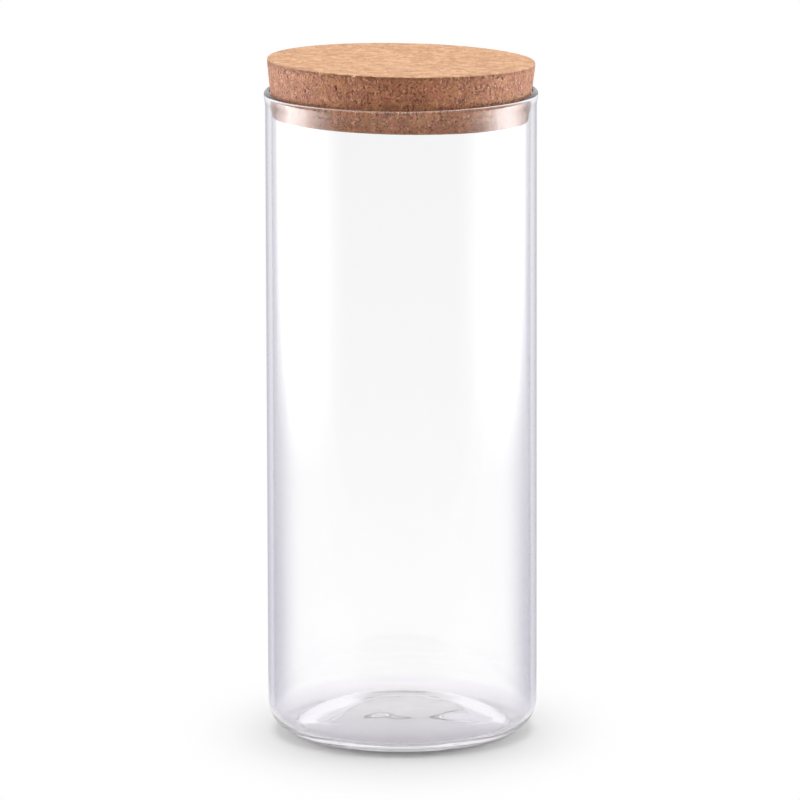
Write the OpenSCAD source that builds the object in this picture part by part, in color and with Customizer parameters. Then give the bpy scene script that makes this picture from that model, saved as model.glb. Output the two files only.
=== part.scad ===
// Storage jar of clear blown glass with a tapered cork lid.
// The origin is at the centre of the foot, where it stands, and +Z points up.

/* [Jar] */
// Outside diameter of the straight wall
body_d = 110; // [90:1:140]
// Height of the jar to the top of its lip
jar_h = 264.6; // [120:0.2:350]
// Thickness of the wall
wall = 2.3; // [1.6:0.1:4]

/* [Base] */
// Outer radius where the wall turns into the foot
corner_r = 13; // [10:0.2:20]
// Inner radius where the wall turns into the floor
inner_corner_r = 8.6; // [5:0.1:15]
// Width of the flat ring that the jar stands on
foot_w = 1; // [0.6:0.1:4]
// Rise of the underside, from the foot to its level middle
kick_h = 7.2; // [3:0.1:10]
// Width of the underside's level middle
kick_level_d = 25; // [10:1:50]
// Thickness of the floor next to the corner
floor_t = 3.5; // [3:0.1:6]
// Rise of the floor inside, from the corner to its level middle
floor_rise = 8; // [3.5:0.1:10]
// Width of the floor's level middle
floor_level_d = 32; // [10:1:50]
// Width of the level ring between the floor's rise and the corner
floor_ring_w = 0.5; // [0.3:0.1:3]

/* [Lip] */
// How far the mouth opens outward, measured on its inside
lip_flare = 0.35; // [0.1:0.05:1]
// How much thicker the fire-polished lip is than the wall
lip_bulge = 0.2; // [0.05:0.05:0.8]
// Height over which the wall opens out to the lip
flare_h = 5; // [3:0.5:10]

/* [Cork lid] */
// Height of the lid above the middle of the lip
cork_proud = 13.8; // [8:0.2:30]
// Depth of the lid below the middle of the lip
cork_depth = 9.8; // [5:0.2:25]
// Slope of the lid's tapered side, in degrees
cork_taper = 6.9; // [5:0.1:10]
// Bevel of the lid's top edge
top_bevel = 0.5; // [0.2:0.1:2]
// Bevel of the lid's bottom edge
bottom_bevel = 0.8; // [0.2:0.1:2]
// Gap between the lid's side and the lip
fit_gap = 0.2; // [0.1:0.05:0.4]
// Lean of the lid, pushed in by hand, in degrees
cork_lean = 2; // [0:0.1:2]
// Side to which the lid leans, in degrees from the X axis
lean_side = 53; // [0:1:359]

/* [Hidden] */
$fn = 144;

// Overrun of the cuts past the faces that they open
overrun = 1;
// The arcs of a soft slope are this much fuller than touching ones, so that they cross
arc_share = 1.002;
// The arc of a dome is this much wider than one that leaves its level middle level
dome_share = 1.02;

// Inside of the straight wall, and where the rises of the underside and of the floor end
body_r = body_d / 2;
inner_r = body_r - wall;
kick_r = body_r - corner_r - foot_w;
floor_r = inner_r - inner_corner_r - floor_ring_w;

// The lip is a round roll on the end of the wall
roll_r = (wall + lip_bulge) / 2;
roll_z = jar_h - roll_r;
mouth_r = inner_r + lip_flare;

// The lid is as wide as the mouth, less the gap, at the middle of the lip
seat_r = mouth_r - fit_gap;
cork_top_r = seat_r + cork_proud * tan(cork_taper);
cork_bottom_r = seat_r - cork_depth * tan(cork_taper);

// A leaning cone is cut off centre by the mouth, so the lid shifts back by this much
lean_shift = seat_r * tan(cork_lean) * tan(cork_taper) / cos(cork_lean);

// Area under a slope of two equal arcs, which leaves its top level and meets its foot level
module soft_slope(run, rise) {
    arc_r = arc_share * (run * run + rise * rise) / (4 * rise);
    intersection() {
        translate([0, rise - arc_r]) circle(r = arc_r);
        square([run, 2 * rise]);
    }
    difference() {
        translate([run / 2, 0]) square([run / 2, rise]);
        translate([run, arc_r]) circle(r = arc_r);
    }
}

// Area under a dome whose level middle turns into one arc that falls to its edge
module dome(level_r, edge_r, rise) {
    run = edge_r - level_r;
    chord = sqrt(run * run + rise * rise);
    arc_r = dome_share * chord * chord / (2 * rise);
    below = sqrt(arc_r * arc_r - chord * chord / 4);
    centre_r = (level_r + edge_r) / 2 - below * rise / chord;
    centre_z = rise / 2 - below * run / chord;
    intersection() {
        square([edge_r + overrun, rise]);
        union() {
            square([centre_r, rise + overrun]);
            translate([centre_r, centre_z]) circle(r = arc_r);
        }
    }
}

// Area right of the axis with a rounded lower corner
module rounded_bottom(r, low, high, corner) {
    translate([0, low]) square([r - corner, high - low]);
    translate([0, low + corner]) square([r, high - low - corner]);
    translate([r - corner, low + corner]) circle(r = corner);
}

module jar_outside() {
    rounded_bottom(body_r, 0, roll_z, corner_r);
    translate([body_r, roll_z]) rotate([0, 0, -90]) soft_slope(flare_h, lip_flare + lip_bulge);
}

module jar_inside() {
    difference() {
        rounded_bottom(inner_r, floor_t, jar_h + overrun, inner_corner_r);
        translate([0, floor_t]) dome(floor_level_d / 2, floor_r, floor_rise);
    }
    translate([inner_r, roll_z]) rotate([0, 0, -90]) soft_slope(flare_h, lip_flare);
    translate([0, roll_z]) square([mouth_r + roll_r, jar_h + overrun - roll_z]);
}

module glass_jar() {
    color([0.85, 0.88, 0.9, 0.35]) rotate_extrude() {
        difference() {
            jar_outside();
            jar_inside();
            dome(kick_level_d / 2, kick_r, kick_h);
        }
        translate([mouth_r + roll_r, roll_z]) circle(r = roll_r);
    }
}

module cork_profile() {
    high = cork_proud;
    low = -cork_depth;
    slope = tan(cork_taper);
    polygon([
        [0, low],
        [cork_bottom_r - bottom_bevel, low],
        [cork_bottom_r + bottom_bevel * slope, low + bottom_bevel],
        [cork_top_r - top_bevel * slope, high - top_bevel],
        [cork_top_r - top_bevel, high],
        [0, high],
    ]);
}

module cork_lid() {
    color([0.78, 0.6, 0.44]) translate([0, 0, roll_z]) rotate([0, 0, lean_side])
        translate([-lean_shift, 0, 0]) rotate([0, cork_lean, 0])
            rotate_extrude() cork_profile();
}

glass_jar();
cork_lid();
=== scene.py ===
"""Looks of a tall clear glass storage jar with a tapered lid of pressed cork.

The file is laid out as an add-on and is run as a script. main() calls the operators one after another.
"""

import math
import random

import bmesh
import bpy
from bpy.props import FloatProperty, FloatVectorProperty, IntProperty, PointerProperty
from mathutils import Matrix, Vector, noise
from mathutils.kdtree import KDTree


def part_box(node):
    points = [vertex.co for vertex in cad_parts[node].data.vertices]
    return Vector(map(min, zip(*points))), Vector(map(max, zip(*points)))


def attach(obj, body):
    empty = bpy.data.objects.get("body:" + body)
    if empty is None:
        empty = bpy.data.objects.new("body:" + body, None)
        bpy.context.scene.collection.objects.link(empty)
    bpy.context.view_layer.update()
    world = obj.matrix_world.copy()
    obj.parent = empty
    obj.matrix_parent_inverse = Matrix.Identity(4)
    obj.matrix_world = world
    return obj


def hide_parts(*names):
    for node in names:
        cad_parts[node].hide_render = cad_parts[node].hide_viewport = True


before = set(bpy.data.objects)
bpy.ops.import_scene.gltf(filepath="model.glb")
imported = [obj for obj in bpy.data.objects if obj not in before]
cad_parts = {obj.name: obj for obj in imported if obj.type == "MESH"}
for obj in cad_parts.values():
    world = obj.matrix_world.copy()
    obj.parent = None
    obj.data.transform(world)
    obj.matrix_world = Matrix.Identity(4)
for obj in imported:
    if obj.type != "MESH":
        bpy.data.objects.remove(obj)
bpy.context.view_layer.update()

bl_info = {
    "name": "Glass Jar With Cork Lid",
    "version": (1, 0, 0),
    "blender": (4, 5, 0),
    "location": "3D View > Sidebar > Jar",
    "description": "Builds the clear glass and the pressed cork of a storage jar, and its studio",
    "category": "Object",
}

MM = 0.001
# A ring narrower than this is a point on the axis
AXIS_R = 1e-9
GLASS_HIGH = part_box("glass_jar")[1]

# Steps of the glass mesh: round the axis, and along each part of its outline
COLUMNS = 288
LEVEL_STEPS = 8
DOME_STEPS = 28
FOOT_STEPS = 2
CORNER_STEPS = 24
WALL_STEPS = 40
FLARE_STEPS = 16
LIP_STEPS = 18
INSIDE_CORNER_STEPS = 20

# Waves of the glass: how many there are in a metre, and the streaks drawn along the wall
BASE_WAVES = 75
WALL_WAVES = (45, 45, 9)
STREAK_WAVES = (60, 60, 6)
# The wall's waves end this far under the top of the lip and over the foot, and fade towards there
LIP_ZONE = 12 * MM
WAVE_START = 10 * MM
WAVE_FADE = 20 * MM
# Shift of the floor's waves, their fade towards its edge, and how far they reach over its middle
BASE_SHIFT = Vector((5, 0, 0))
BASE_FADE = 6 * MM
BASE_CLEARANCE = 0.5 * MM
# Relief of the streaks, and the range of their noise that is carried to a range of roughness
STREAK_STRENGTH = 0.05
STREAK_DEPTH = 0.2 * MM
STREAK_ROUGHNESS = (0.3, 0.7, 0.0, 0.015)

# How far the glass is turned away, from 0 to 1, where its painted edge and rim shade sets in and is full
EDGE_FACING = (0.36, 0.74)
RIM_FACING = (0.74, 0.88)
# The painted edge shade is full up to this height, and falls to this share at the top
EDGE_FULL_Z = 30 * MM
EDGE_SHARE_AT_TOP = 0.4
# Heights over which the painted edge shade ends and the base's tint sets in, and depths under the lip's
# top
SOLID_Z = (12 * MM, 7.5 * MM)
BASE_Z = (14 * MM, 9 * MM)
LIP_DOWN = (4 * MM, 2 * MM)
# How upright the normal of the glass is where the painted edge shade starts to end, and has ended
LEVEL_UPRIGHT = (0.2, 0.6)

# A face of the lid's solid with a normal more upright than this belongs to its top
TOP_UPRIGHT = 0.99
# Points this close in height are one ring of the lid's outline, and narrower rings are left out
RING_HEIGHT = 0.05 * MM
RING_RADIUS = 20 * MM
# Fewest points in a ring of the cork, and how close they may lie, as a share of the mesh step
FEWEST = 12
CLOSEST = 0.62
# How much coarser than the side the level faces are
COARSER = {"top": 1.3, "bottom": 2.2}
# Granules are drawn this far past the lid on each side and above and below it
SIDE_MARGIN = 1 * MM
DEPTH_MARGIN = 3 * MM
# Bends in the borders of the granules, in waves per metre and their widths
BEND_WAVES = (380, 1100)
BENDS = (0.7 * MM, 0.25 * MM)
# Cracks, in waves per metre, with the shift of their noise and how much of it is open
ROUGH_WAVES = 170
CRACK_WAVES = 620
CRACK_SHIFT = Vector((9, 0, 0))
CRACK_WIDTH = 0.11
FINE_CRACK_WAVES = 1300
FINE_CRACK_SHIFT = Vector((0, 9, 0))
FINE_CRACK_WIDTH = 0.2
# The faintest gap between granules, and how deep gaps, cracks and fine cracks are cut and how much
# painted shade they get
FAINTEST_GAP = 0.1
GAP_DARK = 0.8
CRACK_DARK = 0.6
FINE_CRACK_DARK = 0.4
# Share of the relief on the rim, and of the pits' depth on the level faces
RIM_RELIEF = 0.7
LEVEL_PIT = 0.3
# Painted shade and depth of the band under the top edge, painted shade of pits, and share of the tone in
# the relief
EDGE_BAND_SHADE = 0.6
PIT_DARK = 2.5
TONE_RELIEF = 0.3
# Drop of the nick as a share of its size, and how fast it takes the top's colours inward
NICK_DROP = 0.7
NICK_LEVEL = 2
# Noises in the colour of the cork, in waves per metre, and how strands are stretched upright
FINE_WAVES = 1050
COARSE_WAVES = 140
STRAND_WAVES = 800
PATCH_WAVES = 230
STRAND_SCALE = (1, 1, 0.7)
# Hue and tone: the weights of a granule's own draw and of the coarse noise, and their ranges
HUE_DRAW = 0.5
HUE_RANGE = (0.45, 1.05)
TONE_DRAW = 0.5
TONE_COARSE = 0.8
TONE_RANGE = (0.3, 1.0)
# How much a dark tone darkens the side, how much painted shade a gap puts on the side, and what level
# faces lose of that
SIDE_TONE = 0.25
SEAM_SHADE = 0.85
LEVEL_SEAM_LOSS = 0.5
# What level faces lose of the strands and specks
LEVEL_STRAND_LOSS = 0.45
# Ranges of noise, each with the range that it is carried to
PATCHES = (0.40, 0.58, 0.25, 1.0)
LIGHT_STRANDS = (0.54, 0.63, 0.0, 0.75)
STRAND_SHADE = (0.46, 0.37, 0.0, 0.85)
SPECKS = (0.38, 0.32, 0.0, 0.95)
CORK_ROUGHNESS = (0.3, 0.7, 0.9, 0.65)
# Sheen of the cork, and its finest relief
SHEEN = 0.18
SHEEN_ROUGHNESS = 0.5
CORK_BUMP = 0.9
CORK_BUMP_DEPTH = 0.25 * MM

# Bounces of light, sensor of the camera in millimetres, and how far it sees
BOUNCES = 32
SENSOR_WIDTH = 36
CLIP_END = 100
# Disc of the floor, its distance under the foot, and its fine grain
FLOOR_RADIUS = 30
FLOOR_SEGMENTS = 96
FLOOR_DROP = 0.05 * MM
FLOOR_WAVES = 900
FLOOR_GRAIN = 0.02
FLOOR_GRAIN_COLOUR = (0.9, 0.9, 0.9)
# Places along the Y axis, as shares of a size, where the mirrored surroundings darken to the
# front, and where light from the front that was mirrored inside the jar ends
BEHIND = (-0.7, 0.2)
BEFORE = (-0.6, -0.85)
# That size for the far surroundings, whose coordinates are directions, and for the floor
WORLD_SIZE = 1.0
FLOOR_SIZE = 0.3
# Steepness at which light through the glass sets in and is full, where 1 is straight down
FROM_ABOVE = (0.97, 0.6)

TOP_LAMP_SIZE = 0.9
TOP_LAMP_PLACE = (0, 0.1, 1.2)
TOP_LAMP_AIM = (0, 0, 0.1)
# The mirrored lamps stand this much nearer to the jar than the others
LAMP_GAP = 5 * MM
# Share of the lamps' height, from the bottom, over which they fade in
LIT_FADE = 0.25
MIRRORED_FADE = 0.55
# Turn of each lamp from the front in degrees, and its radiance on the left and on the right
LAMP_STEP = 10
LAMP_STRIPS = (
    (50, 0.2, 0.2),
    (60, 0.8, 0.7),
    (70, 1.8, 1.6),
    (80, 2.7, 2.9),
    (90, 4.0, 4.2),
    (100, 3.8, 3.5),
    (110, 1.9, 2.1),
    (120, 0.7, 0.7),
)


def length(name, description, default):
    """A size in metres."""
    return FloatProperty(
        name=name, description=description, default=default, unit="LENGTH", precision=4
    )


def share(name, description, default):
    """A value between 0 and 1."""
    return FloatProperty(
        name=name, description=description, default=default, min=0, max=1, subtype="FACTOR"
    )


def colour(name, description, default):
    """A colour without alpha, in linear light."""
    return FloatVectorProperty(
        name=name, description=description, default=default, size=3, min=0, max=1, subtype="COLOR"
    )


class GlassJarSettings(bpy.types.PropertyGroup):
    """Sizes and finish of the glass."""

    wall: length("Wall", "Thickness of the wall", 2.3 * MM)
    corner: length("Base corner", "Outer radius where the wall turns into the foot", 13 * MM)
    inner_corner: length("Inside corner", "Inner radius where the wall turns into the floor", 8.6 * MM)
    foot_width: length("Foot width", "Width of the flat ring that the jar stands on", 1 * MM)
    kick_height: length("Push-up height", "Rise of the underside to its level middle", 7.2 * MM)
    kick_level: length("Push-up width", "Width of the underside's level middle", 25 * MM)
    floor: length("Floor", "Thickness of the floor next to the corner", 3.5 * MM)
    floor_rise: length("Floor rise", "Rise of the floor inside to its level middle", 8 * MM)
    floor_level: length("Floor width", "Width of the floor's level middle", 32 * MM)
    floor_ring: length("Floor ring", "Width of the level ring round the floor's rise", 0.5 * MM)
    lip_flare: length("Lip flare", "How far the mouth opens outward on its inside", 0.35 * MM)
    lip_bulge: length("Lip bulge", "How much thicker the lip is than the wall", 0.2 * MM)
    flare_height: length("Flare height", "Height over which the wall opens out", 5 * MM)
    ripple: length("Ripple", "Unevenness of the inside of the wall", 0.03 * MM)
    base_ripple: length("Base ripple", "Unevenness of the floor", 0.12 * MM)
    clear: colour("Clear", "Tint of the glass seen square on", (0.995, 0.995, 1.0))
    # Edge and rim are painted shade: the glass greys where it is turned away, in place of the darker
    # surroundings its edges would mirror
    edge: colour("Edge", "Tint of the glass seen along its surface", (0.55, 0.54, 0.62))
    rim: colour("Rim", "Tint of the glass where it turns away", (0.36, 0.35, 0.41))
    base: colour("Base", "Tint of the thick glass of the base", (0.965, 0.945, 0.985))
    ior: FloatProperty(name="IOR", description="Index of refraction", default=1.47, min=1, max=2)


class CorkLidSettings(bpy.types.PropertyGroup):
    """Grain, relief and colours of the cork."""

    mesh_step: length("Mesh step", "Distance between the points of the side", 0.45 * MM)
    granule: length("Granule", "Mean width of a cork granule", 2.6 * MM)
    crevice_width: length("Crevice width", "Width of the gaps between granules", 0.45 * MM)
    relief: length("Relief", "Depth of the gaps and cracks in the side", 0.3 * MM)
    sanded: share("Sanded", "How much of the relief is left on the top", 0.25)
    pit_width: length("Pit width", "Width of the holes where a crumb fell out", 1.3 * MM)
    pit_depth: length("Pit depth", "Depth of those holes", 0.9 * MM)
    pits: share("Pits", "Share of the granules with a hole", 0.1)
    top_light: colour("Top, light", "Light granules of the sanded top", (0.83, 0.48, 0.26))
    top_dark: colour("Top, dark", "Dark granules of the sanded top", (0.56, 0.265, 0.115))
    side_red: colour("Side, red", "Reddish granules of the cut side", (0.64, 0.225, 0.12))
    side_yellow: colour("Side, yellow", "Yellowish granules of the cut side", (0.67, 0.28, 0.115))
    strand: colour("Strands", "Light strands in the cut side", (0.92, 0.50, 0.29))
    # Colour of the painted shade in gaps, cracks, pits and low strands, also used for dark tones and
    # specks
    dark_and_shade: colour("Crevice", "Gaps, cracks and pits", (0.17, 0.055, 0.025))
    # A band under the top edge, cut in slightly and darkened with painted shade
    shaded_edge_band: length("Worn edge", "How far the darker edge reaches down from the top", 2.2 * MM)
    nick_turn: FloatProperty(
        name="Nick", description="Place of a nick in the top edge", default=-1.934, subtype="ANGLE"
    )
    nick_size: length("Nick size", "Half the width of the nick", 1.3 * MM)
    seed: IntProperty(name="Seed", description="Start of the random draws", default=7, min=1)


class StageSettings(bpy.types.PropertyGroup):
    """Camera, lamps and floor."""

    lens: FloatProperty(
        name="Lens", description="Focal length in millimetres", default=400.88, min=20, max=2000
    )
    distance: length("Distance", "From the jar's axis to the camera, along the floor", 3.5621)
    height: length("Height", "Camera above the floor", 0.8342)
    pitch: FloatProperty(
        name="Pitch", description="Downward tilt of the camera", default=0.1933, subtype="ANGLE"
    )
    yaw: FloatProperty(
        name="Yaw", description="Turn of the camera to the left", default=0.000197, subtype="ANGLE"
    )
    roll: FloatProperty(name="Roll", description="Turn about the view", default=-0.0026, subtype="ANGLE")
    floor_colour: colour("Floor", "Colour of the floor", (0.82, 0.82, 0.815))
    mirrored: colour("Mirrored floor", "The far floor where the glass mirrors it", (0.58, 0.57, 0.64))
    mirror_start: length("Mirror start", "Distance from the axis where that colour sets in", 0.09)
    mirror_end: length("Mirror end", "Distance from the axis where that colour is full", 0.16)
    front: share("Mirrored front", "Brightness of the room in front where the glass mirrors it", 0.07)
    inner: FloatProperty(
        name="Light through glass",
        description="Strength of the light that comes through the glass from the sides",
        default=1.15,
    )
    through: share("Through", "How white the floor is where it is seen through the glass", 0.4)
    shadow_start: length("Shadow start", "Distance from the axis where the floor starts to whiten", 0.043)
    shadow_end: length("Shadow end", "Distance from the axis where the floor is white", 0.142)
    shadow_narrow: FloatProperty(
        name="Shadow narrowing",
        description="How much sooner the floor is white to the sides",
        default=1.46,
    )
    ambient: FloatProperty(
        name="Ambient", description="Strength of the light from all round", default=0.355
    )
    side_light: FloatProperty(name="Side light", description="Radiance of the side lamps", default=1.26)
    side_mirror: FloatProperty(
        name="Side reflections", description="Radiance of the lamps that the glass mirrors", default=2.9
    )
    reach: length("Lamp distance", "From the jar's axis to the side lamps", 0.35)
    lamp_low: length("Lamp bottom", "Height of the side lamps' lower edge", 0.045)
    lamp_height: length("Lamp height", "Height of the side lamps", 0.19)
    top_power: FloatProperty(name="Top lamp", description="Power of the top lamp in watts", default=10.2)


def settings():
    """The settings of the glass, the cork and the stage."""
    scene = bpy.context.scene
    return scene.glass_jar_settings, scene.cork_lid_settings, scene.jar_stage_settings


def new_object(name, bm, smooth=True):
    """Links a new mesh object made from bm, and frees bm."""
    mesh = bpy.data.meshes.new(name)
    bm.to_mesh(mesh)
    bm.free()
    mesh.polygons.foreach_set("use_smooth", [smooth] * len(mesh.polygons))
    mesh.update()
    obj = bpy.data.objects.new(name, mesh)
    bpy.context.scene.collection.objects.link(obj)
    return obj


class Nodes:
    """Shorthand for writing a node tree."""

    def __init__(self, tree):
        self.tree = tree
        tree.nodes.clear()

    def add(self, kind, **values):
        """Adds a node. Values are its own properties."""
        node = self.tree.nodes.new(kind)
        for key, value in values.items():
            setattr(node, key, value)
        return node

    def link(self, source, target):
        """Links one socket to another."""
        self.tree.links.new(source, target)

    def math(self, operation, a, b=0.0, c=0.0, clamp=False):
        """The result of one Math node. Each operand is a number or a socket."""
        node = self.add("ShaderNodeMath", operation=operation, use_clamp=clamp)
        for socket, value in zip(node.inputs, (a, b, c)):
            self.feed(value, socket)
        return node.outputs[0]

    def feed(self, value, socket):
        """Links value to socket, or sets it there."""
        if isinstance(value, bpy.types.NodeSocket):
            self.link(value, socket)
        elif socket.type == "RGBA":
            socket.default_value = (*value, 1)
        else:
            socket.default_value = value

    def mix(self, factor, a, b):
        """A mix of two colours."""
        node = self.add("ShaderNodeMix", data_type="RGBA")
        self.feed(factor, node.inputs[0])
        self.feed(a, node.inputs[6])
        self.feed(b, node.inputs[7])
        return node.outputs[2]

    def smooth(self, value, low, high, to_low=0.0, to_high=1.0):
        """Value carried smoothly from the range low to high to the range to_low to to_high."""
        node = self.add("ShaderNodeMapRange", interpolation_type="SMOOTHSTEP")
        for socket, number in zip(node.inputs, (value, low, high, to_low, to_high)):
            self.feed(number, socket)
        return node.outputs[0]

    def noise(self, vector, scale, detail=2.0, roughness=0.5, distortion=0.0):
        """A noise texture's value."""
        node = self.add("ShaderNodeTexNoise")
        self.link(vector, node.inputs["Vector"])
        node.inputs["Scale"].default_value = scale
        node.inputs["Detail"].default_value = detail
        node.inputs["Roughness"].default_value = roughness
        node.inputs["Distortion"].default_value = distortion
        return node.outputs["Fac"]


def new_material(name):
    """A material with an empty node tree."""
    material = bpy.data.materials.new(name)
    material.use_nodes = True
    return material, Nodes(material.node_tree)


# Glass


def arc(centre_r, centre_z, radius, start, end, steps):
    """Points along an arc, angles in degrees, without its first point."""
    angles = [math.radians(start + (end - start) * k / steps) for k in range(1, steps + 1)]
    return [(centre_r + radius * math.cos(a), centre_z + radius * math.sin(a)) for a in angles]


def soft_slope(x, run, rise):
    """Height of an S of two equal arcs, from rise at x 0 to nothing at x run."""
    radius = (run * run + rise * rise) / (4 * rise)
    if x < run / 2:
        return rise - radius + math.sqrt(radius * radius - x * x)
    return radius - math.sqrt(max(radius * radius - (run - x) ** 2, 0))


def dome(level_r, edge_r, rise):
    """(r, height) of points from the axis over a level middle and down one arc to the edge."""
    run = edge_r - level_r
    radius = (run * run + rise * rise) / (2 * rise)
    points = [(0, rise)] + straight((0, rise), (level_r, rise), LEVEL_STEPS)
    for k in range(1, DOME_STEPS + 1):
        out = run * k / DOME_STEPS
        points.append((level_r + out, rise - radius + math.sqrt(radius * radius - out * out)))
    return points


def straight(start, end, steps):
    """Evenly spaced points from start to end, without the first."""
    return [
        (start[0] + (end[0] - start[0]) * k / steps, start[1] + (end[1] - start[1]) * k / steps)
        for k in range(1, steps + 1)
    ]


def jar_profile(glass):
    """The closed outline of the glass right of the axis, from under the floor round to its top."""
    roll_r = (glass.wall + glass.lip_bulge) / 2
    roll_z = GLASS_HIGH[2] - roll_r
    body_r = GLASS_HIGH[0] - glass.lip_flare - glass.lip_bulge
    inner_r = body_r - glass.wall
    mouth_r = inner_r + glass.lip_flare
    foot_r = body_r - glass.corner
    flare_z = roll_z - glass.flare_height
    level_r = inner_r - glass.inner_corner
    inner_z = glass.floor + glass.inner_corner

    def flare(r, k, rise):
        up = k / FLARE_STEPS
        out = soft_slope(glass.flare_height * (1 - up), glass.flare_height, rise)
        return r + out, flare_z + glass.flare_height * up

    points = dome(glass.kick_level / 2, foot_r - glass.foot_width, glass.kick_height)
    points += straight((foot_r - glass.foot_width, 0), (foot_r, 0), FOOT_STEPS)
    points += arc(foot_r, glass.corner, glass.corner, -90, 0, CORNER_STEPS)
    points += straight((body_r, glass.corner), (body_r, flare_z), WALL_STEPS)
    for k in range(1, FLARE_STEPS + 1):
        points.append(flare(body_r, k, glass.lip_flare + glass.lip_bulge))
    points += arc(mouth_r + roll_r, roll_z, roll_r, 0, 180, LIP_STEPS)
    for k in range(FLARE_STEPS - 1, -1, -1):
        points.append(flare(inner_r, k, glass.lip_flare))
    points += straight((inner_r, flare_z), (inner_r, inner_z), WALL_STEPS)
    points += arc(level_r, inner_z, glass.inner_corner, 0, -90, INSIDE_CORNER_STEPS)
    rise = dome(glass.floor_level / 2, level_r - glass.floor_ring, glass.floor_rise)
    points += [(r, glass.floor + height) for r, height in reversed(rise)]
    return points, inner_r


def spin(profile, shift):
    """A closed solid of revolution. shift moves a point of the surface, given its place and row."""
    bm = bmesh.new()
    rows = []
    for row, (r, z) in enumerate(profile):
        count = 1 if r < AXIS_R else COLUMNS
        ring = []
        for column in range(count):
            turn = 2 * math.pi * column / COLUMNS
            place = Vector((r * math.cos(turn), r * math.sin(turn), z))
            ring.append(bm.verts.new(place + shift(place, row)))
        rows.append(ring)
    for lower, upper in zip(rows, rows[1:]):
        for k in range(COLUMNS):
            after = (k + 1) % COLUMNS
            if len(lower) == 1:
                bm.faces.new((lower[0], upper[after], upper[k]))
            elif len(upper) == 1:
                bm.faces.new((lower[k], lower[after], upper[0]))
            else:
                bm.faces.new((lower[k], lower[after], upper[after], upper[k]))
    bmesh.ops.recalc_face_normals(bm, faces=bm.faces)
    return bm


def glass_shape(glass):
    """The jar, with the faint unevenness of blown glass on its inside."""
    profile, inner_r = jar_profile(glass)
    inside = len(profile) // 2
    lip_z = GLASS_HIGH[2] - LIP_ZONE

    def shift(place, row):
        if row <= inside or place.z > lip_z:
            return Vector()
        if place.z < glass.floor + glass.floor_rise + BASE_CLEARANCE:
            fade = max(0, min(1, (inner_r - glass.inner_corner - place.xy.length) / BASE_FADE))
            wave = noise.noise(place * BASE_WAVES + BASE_SHIFT)
            return Vector((0, 0, glass.base_ripple * fade * wave))
        stretched = place * Vector(WALL_WAVES)
        fade = min(1, (lip_z - place.z) / WAVE_FADE, (place.z - WAVE_START) / WAVE_FADE)
        out = Vector((place.x, place.y, 0)).normalized()
        return out * glass.ripple * fade * noise.noise(stretched)

    return new_object("glass_jar_clear", spin(profile, shift))


def clear_glass(glass):
    """Clear glass with painted shade that greys it towards its edges, and faint drawn streaks."""
    material, n = new_material("clear_glass")
    shader = n.add("ShaderNodeBsdfPrincipled")
    out = n.add("ShaderNodeOutputMaterial")
    facing = n.add("ShaderNodeLayerWeight")
    facing.inputs["Blend"].default_value = 0.5
    coordinates = n.add("ShaderNodeTexCoord")
    place = coordinates.outputs["Object"]
    # Painted shade: greyer glass where it is turned away, greyest at the rim
    edge = n.smooth(facing.outputs["Facing"], *EDGE_FACING)
    rim = n.smooth(facing.outputs["Facing"], *RIM_FACING)
    split = n.add("ShaderNodeSeparateXYZ")
    n.link(place, split.inputs[0])
    height = split.outputs["Z"]
    upward = n.smooth(height, EDGE_FULL_Z, GLASS_HIGH[2], 1.0, EDGE_SHARE_AT_TOP)
    edge = n.math("MULTIPLY", edge, upward)
    tint_and_edge_shade = n.mix(rim, n.mix(edge, glass.clear, glass.edge), glass.rim)
    solid = n.smooth(height, *SOLID_Z)
    low = n.smooth(height, *BASE_Z)
    lip = n.smooth(height, GLASS_HIGH[2] - LIP_DOWN[0], GLASS_HIGH[2] - LIP_DOWN[1])
    upright = n.add("ShaderNodeSeparateXYZ")
    n.link(coordinates.outputs["Normal"], upright.inputs[0])
    level = n.smooth(n.math("ABSOLUTE", upright.outputs["Z"]), *LEVEL_UPRIGHT)
    plain = n.mix(low, glass.clear, glass.base)
    tint_and_edge_shade = n.mix(n.math("MAXIMUM", level, n.math("MAXIMUM", solid, lip)), tint_and_edge_shade, plain)
    n.link(tint_and_edge_shade, shader.inputs["Base Color"])
    shader.inputs["Transmission Weight"].default_value = 1
    shader.inputs["IOR"].default_value = glass.ior
    streaks = n.add("ShaderNodeMapping")
    streaks.inputs["Scale"].default_value = STREAK_WAVES
    n.link(place, streaks.inputs["Vector"])
    wave = n.noise(streaks.outputs[0], scale=1.0)
    bump = n.add("ShaderNodeBump")
    bump.inputs["Strength"].default_value = STREAK_STRENGTH
    bump.inputs["Distance"].default_value = STREAK_DEPTH
    n.link(wave, bump.inputs["Height"])
    n.link(bump.outputs[0], shader.inputs["Normal"])
    n.link(n.smooth(wave, *STREAK_ROUGHNESS), shader.inputs["Roughness"])
    n.link(shader.outputs[0], out.inputs["Surface"])
    return material


# Cork


def lid_frame():
    """The place, axis and outline of the cork lid, read from its solid at rest."""
    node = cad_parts["cork_lid"]
    mesh = node.data
    place = node.matrix_world
    tops = [p for p in mesh.polygons if (place.to_3x3() @ p.normal).z > TOP_UPRIGHT]
    area = sum(p.area for p in tops)
    centre = sum(((place @ p.center) * p.area for p in tops), Vector()) / area
    axis = sum(((place.to_3x3() @ p.normal) * p.area for p in tops), Vector()).normalized()
    rings = {}
    for vertex in mesh.vertices:
        offset = place @ vertex.co - centre
        down = offset.dot(axis)
        out = (offset - axis * down).length
        key = round(down / RING_HEIGHT)
        rings[key] = max(rings.get(key, (0, 0)), (out, down))
    outline = sorted(rings.values(), key=lambda ring: ring[1])
    turn = Vector((0, 0, 1)).rotation_difference(axis).to_matrix().to_4x4()
    return Matrix.Translation(centre) @ turn, [ring for ring in outline if ring[0] > RING_RADIUS]


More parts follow.
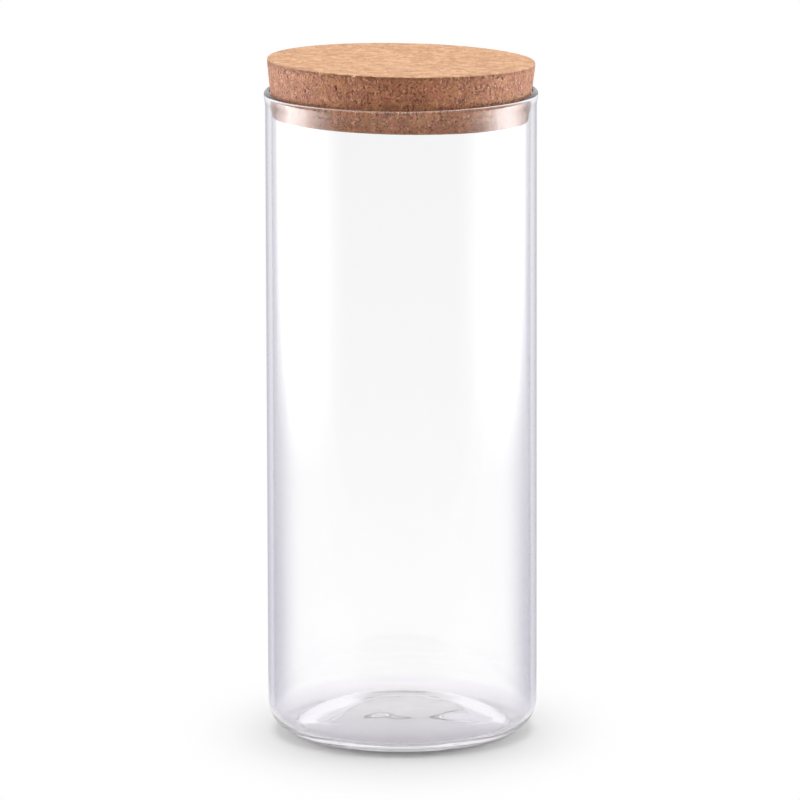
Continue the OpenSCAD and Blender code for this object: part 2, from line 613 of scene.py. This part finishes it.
class Granules:
    """Pressed cork: random granules with gaps, cracks and holes between them."""

    def __init__(self, cork, radius, height):
        draw = random.Random(cork.seed)
        # Without a seed, noise_vector takes other values in each run
        noise.seed_set(cork.seed)
        self.cork = cork
        count = int((2 * radius) ** 2 * (height + 2 * DEPTH_MARGIN) / cork.granule**3)
        self.tree = KDTree(count)
        self.draws = []
        for k in range(count):
            x = draw.uniform(-radius, radius)
            y = draw.uniform(-radius, radius)
            z = draw.uniform(-height - DEPTH_MARGIN, DEPTH_MARGIN)
            self.tree.insert((x, y, z), k)
            self.draws.append([draw.random() for _ in range(4)])
        self.tree.balance()

    def at(self, place):
        """(tone, hue, depth and painted shade of the gaps, share of the pit depth) at a place, each from
        0 to 1.
        """
        bend = Vector()
        for waves, width in zip(BEND_WAVES, BENDS):
            bend += noise.noise_vector(place * waves) * width
        first, second = self.tree.find_n(place + bend, 2)
        tone, hue, gap_draw, pit_draw = self.draws[first[1]]
        gap = max(0, 1 - (second[2] - first[2]) / self.cork.crevice_width)
        gap *= FAINTEST_GAP + (1 - FAINTEST_GAP) * gap_draw**3
        rough = 0.5 + 0.5 * noise.noise(place * ROUGH_WAVES)
        crack = abs(noise.noise(place * CRACK_WAVES + CRACK_SHIFT))
        crack = max(0, 1 - crack / CRACK_WIDTH) * rough
        fine = abs(noise.noise(place * FINE_CRACK_WAVES + FINE_CRACK_SHIFT))
        fine = max(0, 1 - fine / FINE_CRACK_WIDTH) * rough
        pit = 0.0
        if pit_draw < self.cork.pits:
            pit = max(0, 1 - (first[2] / (0.5 * self.cork.pit_width)) ** 2)
        dark = GAP_DARK * gap + CRACK_DARK * crack + FINE_CRACK_DARK * fine
        return tone, hue, min(1, dark), pit


def ring_count(radius, step, most):
    """How many points a ring takes: most, halved while they would lie closer than the step."""
    count = most
    while count > FEWEST and 2 * math.pi * radius / count < CLOSEST * step:
        count //= 2
    return count


def join_rings(bm, outer, inner):
    """Faces between two rings, where inner has as many points as outer, or half as many."""
    count = len(inner)
    if len(outer) == count:
        for k in range(count):
            after = (k + 1) % count
            bm.faces.new((outer[k], outer[after], inner[after], inner[k]))
        return
    for k in range(count):
        after = (k + 1) % count
        middle = outer[2 * k + 1]
        bm.faces.new((outer[2 * k], middle, inner[k]))
        bm.faces.new((middle, inner[after], inner[k]))
        bm.faces.new((middle, outer[(2 * k + 2) % len(outer)], inner[after]))


def cork_rings(outline, step):
    """(radius, height, kind) of each ring from the middle of the top to the middle of the bottom."""
    bottom, low, high, top = outline[0], outline[1], outline[-2], outline[-1]
    count = math.ceil(top[0] / (COARSER["top"] * step))
    rings = [(top[0] * k / count, top[1], "top") for k in range(count + 1)]
    rings += [((top[0] + high[0]) / 2, (top[1] + high[1]) / 2, "rim")]
    count = math.ceil((high[1] - low[1]) / step)
    for k in range(count + 1):
        along = k / count
        out = high[0] + (low[0] - high[0]) * along
        rings.append((out, high[1] + (low[1] - high[1]) * along, "side"))
    count = math.ceil(bottom[0] / (COARSER["bottom"] * step))
    rings += [(bottom[0] * (count - k) / count, bottom[1], "bottom") for k in range(count + 1)]
    return rings


def cork_shape(cork):
    """The lid as a fine mesh with its grain cut inward, so that it stays inside the solid's outline."""
    lid, outline = lid_frame()
    radius = max(ring[0] for ring in outline)
    granules = Granules(cork, radius + SIDE_MARGIN, outline[-1][1] - outline[0][1])
    most = FEWEST * 2 ** round(math.log2(2 * math.pi * radius / cork.mesh_step / FEWEST))
    share_of = {"top": cork.sanded, "rim": RIM_RELIEF, "side": 1, "bottom": cork.sanded}
    bm = bmesh.new()
    grain = bm.verts.layers.float_color.new("cork_grain_and_shade")
    top_r, top_z = outline[-1]
    nick_at = Vector((top_r * math.cos(cork.nick_turn), top_r * math.sin(cork.nick_turn), top_z))
    rings = []
    for r, z, kind in cork_rings(outline, cork.mesh_step):
        coarse = COARSER.get(kind, 1) * cork.mesh_step
        count = 1 if r < AXIS_R else ring_count(r, coarse, most)
        ring = []
        for k in range(count):
            turn = 2 * math.pi * k / count
            place = Vector((r * math.cos(turn), r * math.sin(turn), z))
            tone, hue, dark, pit = granules.at(place)
            inward = Vector((-math.cos(turn), -math.sin(turn), 0))
            if kind in ("top", "bottom"):
                inward = Vector((0, 0, -1 if kind == "top" else 1))
                pit *= LEVEL_PIT
            elif kind == "rim":
                inward = (inward + Vector((0, 0, -1))).normalized()
            if kind == "side":
                # Painted shade, with a slight cut, in a band under the top edge
                dark = min(1, dark + EDGE_BAND_SHADE * max(0, 1 - (top_z - z) / cork.shaded_edge_band))
            deep = share_of[kind] * cork.relief * (dark + TONE_RELIEF * tone)
            deep += cork.pit_depth * pit
            nick = max(0, 1 - (place - nick_at).length / cork.nick_size)
            place += inward * deep + Vector((0, 0, -NICK_DROP * cork.nick_size * nick))
            vertex = bm.verts.new(lid @ place)
            # Level faces and the nick take the top's colours, and so does the rim, as a painted highlight
            # along the top edge
            level = max(float(kind != "side"), min(1, NICK_LEVEL * nick))
            # Pits get painted shade; the nick gets none
            dark = max(dark, min(1, PIT_DARK * pit)) * (1 - nick)
            vertex[grain] = (tone, hue, dark, level)
            ring.append(vertex)
        rings.append(ring)
    for upper, lower in zip(rings, rings[1:]):
        if len(upper) == 1:
            for k in range(len(lower)):
                bm.faces.new((upper[0], lower[k], lower[(k + 1) % len(lower)]))
        elif len(lower) == 1:
            for k in range(len(upper)):
                bm.faces.new((upper[(k + 1) % len(upper)], upper[k], lower[0]))
        elif len(lower) > len(upper):
            join_rings(bm, lower, upper)
        else:
            join_rings(bm, upper, lower)
    bmesh.ops.recalc_face_normals(bm, faces=bm.faces)
    return new_object("cork_lid_grain", bm)


def cork_colour(n, cork, place, fine, strands):
    """Granules in two hues on the side and two tones on the top, with painted shade in the gaps, cracks,
    pits, low strands and under the top edge, dark specks, and a painted highlight on the rim.
    """
    grain = n.add("ShaderNodeAttribute", attribute_name="cork_grain_and_shade")
    split = n.add("ShaderNodeSeparateColor")
    n.link(grain.outputs["Color"], split.inputs[0])
    tone, hue, dark = split.outputs[0], split.outputs[1], split.outputs[2]
    level = grain.outputs["Alpha"]
    coarse = n.noise(place, COARSE_WAVES, detail=4.0, roughness=0.6)
    hue = n.smooth(n.math("ADD", n.math("MULTIPLY", hue, HUE_DRAW), coarse), *HUE_RANGE)
    side = n.mix(hue, cork.side_red, cork.side_yellow)
    coarse = n.math("MULTIPLY", coarse, TONE_COARSE)
    tone = n.smooth(n.math("ADD", n.math("MULTIPLY", tone, TONE_DRAW), coarse), *TONE_RANGE)
    side = n.mix(n.math("MULTIPLY", n.math("SUBTRACT", 1.0, tone), SIDE_TONE), side, cork.dark_and_shade)
    # The top's tones on the rim are a painted highlight
    base = n.mix(level, side, n.mix(tone, cork.top_dark, cork.top_light))
    seam_shade = n.math("SUBTRACT", SEAM_SHADE, n.math("MULTIPLY", level, LEVEL_SEAM_LOSS))
    # Painted shade in the gaps, cracks and pits, lighter on level faces
    base = n.mix(n.math("MULTIPLY", dark, seam_shade), base, cork.dark_and_shade)
    cut = n.math("SUBTRACT", 1.0, n.math("MULTIPLY", level, LEVEL_STRAND_LOSS))
    patchy = n.math("MULTIPLY", n.smooth(n.noise(place, PATCH_WAVES), *PATCHES), cut)
    light = n.math("MULTIPLY", n.smooth(strands, *LIGHT_STRANDS), patchy)
    base = n.mix(light, base, cork.strand)
    # Painted shade where the strands' relief is low; the specks are dark flecks of the cork
    shade = n.math("MULTIPLY", n.smooth(strands, *STRAND_SHADE), patchy)
    specks = n.math("MULTIPLY", n.smooth(fine, *SPECKS), cut)
    return n.mix(n.math("MAXIMUM", shade, specks), base, cork.dark_and_shade)


def pressed_cork(cork):
    """Pressed cork granules, matt and finely rough."""
    material, n = new_material("pressed_cork")
    shader = n.add("ShaderNodeBsdfPrincipled")
    out = n.add("ShaderNodeOutputMaterial")
    place = n.add("ShaderNodeTexCoord").outputs["Object"]
    fine = n.noise(place, FINE_WAVES, detail=1.0)
    drawn = n.add("ShaderNodeMapping")
    drawn.inputs["Scale"].default_value = STRAND_SCALE
    n.link(place, drawn.inputs["Vector"])
    strands = n.noise(drawn.outputs[0], STRAND_WAVES, detail=3.0, roughness=0.65, distortion=1.4)
    n.link(cork_colour(n, cork, place, fine, strands), shader.inputs["Base Color"])
    n.link(n.smooth(fine, *CORK_ROUGHNESS), shader.inputs["Roughness"])
    shader.inputs["Sheen Weight"].default_value = SHEEN
    shader.inputs["Sheen Roughness"].default_value = SHEEN_ROUGHNESS
    bump = n.add("ShaderNodeBump")
    bump.inputs["Strength"].default_value = CORK_BUMP
    bump.inputs["Distance"].default_value = CORK_BUMP_DEPTH
    n.link(strands, bump.inputs["Height"])
    n.link(bump.outputs[0], shader.inputs["Normal"])
    n.link(shader.outputs[0], out.inputs["Surface"])
    return material


# Stage


def stage_camera(stage):
    """The camera, at the photograph's height, distance and tilt."""
    data = bpy.data.cameras.new("camera")
    data.lens = stage.lens
    data.sensor_width = SENSOR_WIDTH
    data.clip_end = CLIP_END
    camera = bpy.data.objects.new("camera", data)
    bpy.context.scene.collection.objects.link(camera)
    turn = Matrix.Rotation(stage.yaw, 4, "Z") @ Matrix.Rotation(math.pi / 2 - stage.pitch, 4, "X")
    turn = turn @ Matrix.Rotation(stage.roll, 4, "Z")
    camera.matrix_world = Matrix.Translation((0, -stage.distance, stage.height)) @ turn
    bpy.context.scene.camera = camera


def stage_world(stage):
    """White where it is seen, directly or in the glass, and a plain soft light elsewhere.

    In the glass its front is mirrored nearly dark, and it lights matt surfaces through the glass.
    """
    world = bpy.data.worlds.new("studio")
    world.use_nodes = True
    bpy.context.scene.world = world
    n = Nodes(world.node_tree)
    seen, _, mirrored, lit = seen_rays(n, WORLD_SIZE)
    light = n.add("ShaderNodeBackground")
    strength = n.smooth(mirrored, 0, 1, stage.ambient, stage.front)
    n.link(n.math("MULTIPLY_ADD", lit, stage.inner, strength), light.inputs["Strength"])
    white = n.add("ShaderNodeBackground")
    mix = n.add("ShaderNodeMixShader")
    for node in (light, white):
        node.inputs["Color"].default_value = (1, 1, 1, 1)
    n.link(seen, mix.inputs[0])
    n.link(light.outputs[0], mix.inputs[1])
    n.link(white.outputs[0], mix.inputs[2])
    n.link(mix.outputs[0], n.add("ShaderNodeOutputWorld").inputs[0])


def seen_rays(n, size):
    """1 for rays by which the surroundings are seen: straight, through glass, or mirrored behind the jar.

    The second result is for the rays through glass alone, and the third for the mirrored ones.
    The fourth is for light that goes through glass to a matt surface, except from above.
    size sets how fast the mirrored surroundings darken in front of the jar.
    A depth counts bounces, so 0.5 tells none from one or more.
    """
    path = n.add("ShaderNodeLightPath")
    split = n.add("ShaderNodeSeparateXYZ")
    n.link(n.add("ShaderNodeTexCoord").outputs["Object"], split.inputs[0])
    behind = n.smooth(split.outputs["Y"], BEHIND[0] * size, BEHIND[1] * size)
    through = path.outputs["Is Transmission Ray"]
    mirrored = n.math("SUBTRACT", path.outputs["Is Glossy Ray"], through, clamp=True)
    direct = n.math("LESS_THAN", path.outputs["Diffuse Depth"], 0.5)
    level = n.smooth(split.outputs["Z"], *FROM_ABOVE)
    lit = n.math("MULTIPLY", n.math("SUBTRACT", through, direct, clamp=True), level)
    front = n.smooth(split.outputs["Y"], BEFORE[0] * size, BEFORE[1] * size)
    inside = n.math("MULTIPLY", n.math("GREATER_THAN", path.outputs["Glossy Depth"], 0.5), front)
    through = n.math("MULTIPLY", n.math("SUBTRACT", through, inside, clamp=True), direct)
    glass = n.math("MULTIPLY", n.math("MULTIPLY", mirrored, behind), direct)
    glass = n.math("MAXIMUM", through, glass)
    seen = n.math("MAXIMUM", path.outputs["Is Camera Ray"], glass)
    return seen, through, mirrored, lit


def soft_lamp(data, place, aim):
    """An area lamp that points at aim and isn't itself seen behind the jar."""
    lamp = bpy.data.objects.new(data.name, data)
    lamp.location = place
    lamp.visible_camera = lamp.visible_transmission = False
    lamp.rotation_euler = (Vector(aim) - Vector(place)).to_track_quat("-Z", "Y").to_euler()
    bpy.context.scene.collection.objects.link(lamp)
    return lamp


def lamp_data(name, width, height, power):
    """The shape and power of an area lamp."""
    data = bpy.data.lights.new(name, "AREA")
    data.shape = "RECTANGLE"
    data.size = width
    data.size_y = height
    data.energy = power
    return data


def soft_box(stage, name, width, radiances, strength, fade):
    """A light whose radiance varies smoothly round the jar, and fades out over its lowest share."""
    most = max(radiances)
    power = strength * most * math.pi * width * stage.lamp_height
    data = lamp_data(name, width, stage.lamp_height, power)
    data.use_nodes = True
    n = Nodes(data.node_tree)
    split = n.add("ShaderNodeSeparateXYZ")
    n.link(n.add("ShaderNodeNewGeometry").outputs["Position"], split.inputs[0])
    across = n.math("ABSOLUTE", split.outputs["X"])
    turn = n.math("ARCTAN2", across, n.math("MULTIPLY", split.outputs["Y"], -1.0))
    start = math.radians(LAMP_STRIPS[0][0] - LAMP_STEP)
    end = math.radians(LAMP_STRIPS[-1][0] + LAMP_STEP)
    ramp = n.add("ShaderNodeFloatCurve")
    along = n.math("DIVIDE", n.math("SUBTRACT", turn, start), end - start)
    n.link(along, ramp.inputs["Value"])
    curve = ramp.mapping.curves[0]
    curve.points[0].location = (0, 0)
    curve.points[1].location = (1, 0)
    for k, radiance in enumerate(radiances):
        curve.points.new((k + 1) / (len(radiances) + 1), radiance / most)
    ramp.mapping.update()
    low = n.smooth(split.outputs["Z"], stage.lamp_low, stage.lamp_low + fade * stage.lamp_height)
    emission = n.add("ShaderNodeEmission")
    n.link(n.math("MULTIPLY", ramp.outputs[0], low), emission.inputs["Strength"])
    n.link(emission.outputs[0], n.add("ShaderNodeOutputLight").inputs[0])
    return data


def stage_lamps(stage):
    """On each side a curved soft box, dimmer towards its ends, and one over the jar.

    The glass mirrors a set of its own, which fades further towards its foot and lights nothing.
    It stands a little nearer, because only the first of two lamps in one place is mirrored.
    """
    width = 2 * stage.reach * math.tan(math.radians(LAMP_STEP / 2))
    aim = Vector((0, 0, stage.lamp_low + stage.lamp_height / 2))
    for side, column in ((-1, 1), (1, 2)):
        radiances = [strip[column] for strip in LAMP_STRIPS]
        lit = soft_box(stage, "side_lamp", width, radiances, stage.side_light, LIT_FADE)
        mirrored = soft_box(stage, "mirrored_lamp", width, radiances, stage.side_mirror, MIRRORED_FADE)
        for strip in LAMP_STRIPS:
            angle = math.radians(-90 + side * strip[0])
            out = Vector((math.cos(angle), math.sin(angle), 0))
            soft_lamp(lit, aim + out * stage.reach, aim).visible_glossy = False
            soft_lamp(mirrored, aim + out * (stage.reach - LAMP_GAP), aim).visible_diffuse = False
    top = lamp_data("top_lamp", TOP_LAMP_SIZE, TOP_LAMP_SIZE, stage.top_power)
    soft_lamp(top, TOP_LAMP_PLACE, TOP_LAMP_AIM)


def stage_floor(stage):
    """A pale floor that takes the jar's shadow, and fades to white away from it."""
    bm = bmesh.new()
    bmesh.ops.create_circle(bm, cap_ends=True, radius=FLOOR_RADIUS, segments=FLOOR_SEGMENTS)
    floor = new_object("studio_floor", bm, smooth=False)
    floor.location.z = -FLOOR_DROP
    material, n = new_material("pale_floor")
    place = n.add("ShaderNodeTexCoord").outputs["Object"]
    narrow = n.add("ShaderNodeVectorMath", operation="MULTIPLY")
    narrow.inputs[1].default_value = (stage.shadow_narrow, 1, 1)
    n.link(place, narrow.inputs[0])
    away = n.add("ShaderNodeVectorMath", operation="LENGTH")
    n.link(narrow.outputs[0], away.inputs[0])
    far = n.smooth(away.outputs["Value"], stage.shadow_start, stage.shadow_end)
    seen, through, mirrored, _ = seen_rays(n, FLOOR_SIZE)
    far = n.math("MAXIMUM", far, n.math("MULTIPLY", through, stage.through))
    far = n.math("MULTIPLY", far, seen)
    matt = n.add("ShaderNodeBsdfDiffuse")
    grain = n.math("MULTIPLY", n.noise(place, FLOOR_WAVES, detail=3.0), FLOOR_GRAIN)
    pale = n.mix(grain, stage.floor_colour, FLOOR_GRAIN_COLOUR)
    n.link(pale, matt.inputs["Color"])
    white = n.add("ShaderNodeEmission")
    distant = n.smooth(away.outputs["Value"], stage.mirror_start, stage.mirror_end)
    distant = n.math("MULTIPLY", mirrored, distant)
    n.link(n.mix(distant, (1, 1, 1), stage.mirrored), white.inputs["Color"])
    mix = n.add("ShaderNodeMixShader")
    n.link(far, mix.inputs[0])
    n.link(matt.outputs[0], mix.inputs[1])
    n.link(white.outputs[0], mix.inputs[2])
    n.link(mix.outputs[0], n.add("ShaderNodeOutputMaterial").inputs["Surface"])
    floor.data.materials.append(material)


# Operators, panel and run


class JAR_OT_glass_jar(bpy.types.Operator):
    """Builds the clear glass jar and puts it on the jar's body"""

    bl_idname = "jar.glass_jar"
    bl_label = "Build Glass Jar"

    def execute(self, context):
        glass = settings()[0]
        jar = glass_shape(glass)
        jar.data.materials.append(clear_glass(glass))
        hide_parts("glass_jar")
        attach(jar, "jar")
        return {"FINISHED"}


class JAR_OT_cork_lid(bpy.types.Operator):
    """Builds the cork lid and puts it on the lid's body"""

    bl_idname = "jar.cork_lid"
    bl_label = "Build Cork Lid"

    def execute(self, context):
        cork = settings()[1]
        lid = cork_shape(cork)
        lid.data.materials.append(pressed_cork(cork))
        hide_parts("cork_lid")
        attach(lid, "lid")
        return {"FINISHED"}


class JAR_OT_stage(bpy.types.Operator):
    """Builds the floor, the lamps, the white surroundings and the camera"""

    bl_idname = "jar.stage"
    bl_label = "Build Stage"

    def execute(self, context):
        stage = settings()[2]
        scene = context.scene
        scene.view_settings.view_transform = "Standard"
        scene.cycles.max_bounces = BOUNCES
        scene.cycles.glossy_bounces = BOUNCES
        scene.cycles.transmission_bounces = BOUNCES
        stage_camera(stage)
        stage_world(stage)
        stage_lamps(stage)
        stage_floor(stage)
        return {"FINISHED"}


class JAR_PT_panel(bpy.types.Panel):
    """Lists the jar's operators"""

    bl_label = "Glass Jar With Cork Lid"
    bl_idname = "JAR_PT_panel"
    bl_space_type = "VIEW_3D"
    bl_region_type = "UI"
    bl_category = "Jar"

    def draw(self, context):
        for operator in OPERATORS:
            self.layout.operator(operator.bl_idname)


OPERATORS = (JAR_OT_glass_jar, JAR_OT_cork_lid, JAR_OT_stage)
GROUPS = {
    "glass_jar_settings": GlassJarSettings,
    "cork_lid_settings": CorkLidSettings,
    "jar_stage_settings": StageSettings,
}


def register():
    for name, group in GROUPS.items():
        bpy.utils.register_class(group)
        setattr(bpy.types.Scene, name, PointerProperty(type=group))
    for cls in (*OPERATORS, JAR_PT_panel):
        bpy.utils.register_class(cls)


def unregister():
    for cls in reversed((*OPERATORS, JAR_PT_panel)):
        bpy.utils.unregister_class(cls)
    for name, group in reversed(GROUPS.items()):
        delattr(bpy.types.Scene, name)
        bpy.utils.unregister_class(group)


def main():
    register()
    bpy.ops.jar.glass_jar()
    bpy.ops.jar.cork_lid()
    bpy.ops.jar.stage()


if __name__ == "__main__":
    main()
